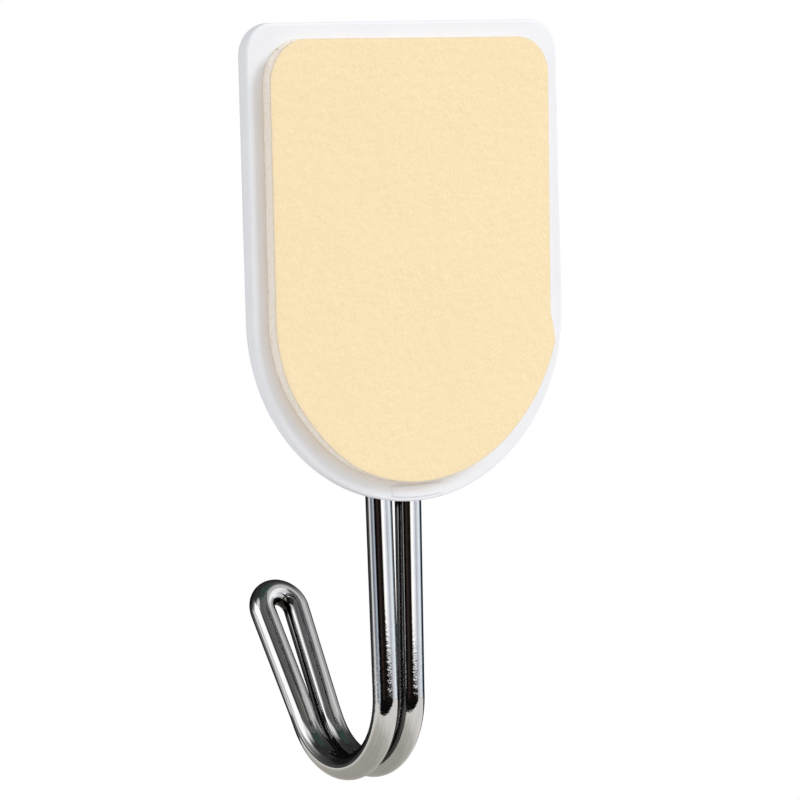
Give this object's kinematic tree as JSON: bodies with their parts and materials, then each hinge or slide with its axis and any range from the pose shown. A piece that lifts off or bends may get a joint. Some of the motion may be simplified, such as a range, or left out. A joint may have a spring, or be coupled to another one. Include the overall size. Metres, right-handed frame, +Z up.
{
  "type": "adhesive wall hook",
  "caption": "Shield-shaped adhesive base with a doubled chromed wire hook that hangs from snap-in pivots in its hood, for hanging light things on a smooth wall.",
  "frame": {"origin": "on the wall plane (the outer face of the release liner), behind the middle of the base plate's width and height", "axes": "+X to the right seen from the front, +Y into the wall, +Z up along the base and the hanging stem"},
  "size_m": [0.042, 0.0333, 0.0864],
  "materials": {
    "white_plastic": "moulded white plastic with a soft sheen",
    "chromed_wire": "bright chrome plating on steel wire",
    "adhesive_film": "clear acrylic adhesive film, slightly yellow",
    "cream_foam": "closed-cell foam, matt",
    "liner_paper": "pale yellow silicone-coated release paper, fine fibre mottling"
  },
  "bodies": {
    "base": {"base_plate": "white_plastic", "inner_adhesive": "adhesive_film", "foam_core": "cream_foam", "outer_adhesive": "adhesive_film"},
    "hook": {"wire_hook": "chromed_wire"},
    "liner": {"release_liner": "liner_paper"}
  },
  "joints": [
    {"name": "hook_swing", "type": "hinge", "parent": "base", "child": "hook", "pos_m": [0, -0.00637, -0.0168], "axis": [-1, 0, 0], "range_deg": [0, 90]},
    {"name": "liner_peel", "type": "slide", "parent": "base", "child": "liner", "axis": [0, 1, 0], "range_m": [0, 0.03]}
  ]
}
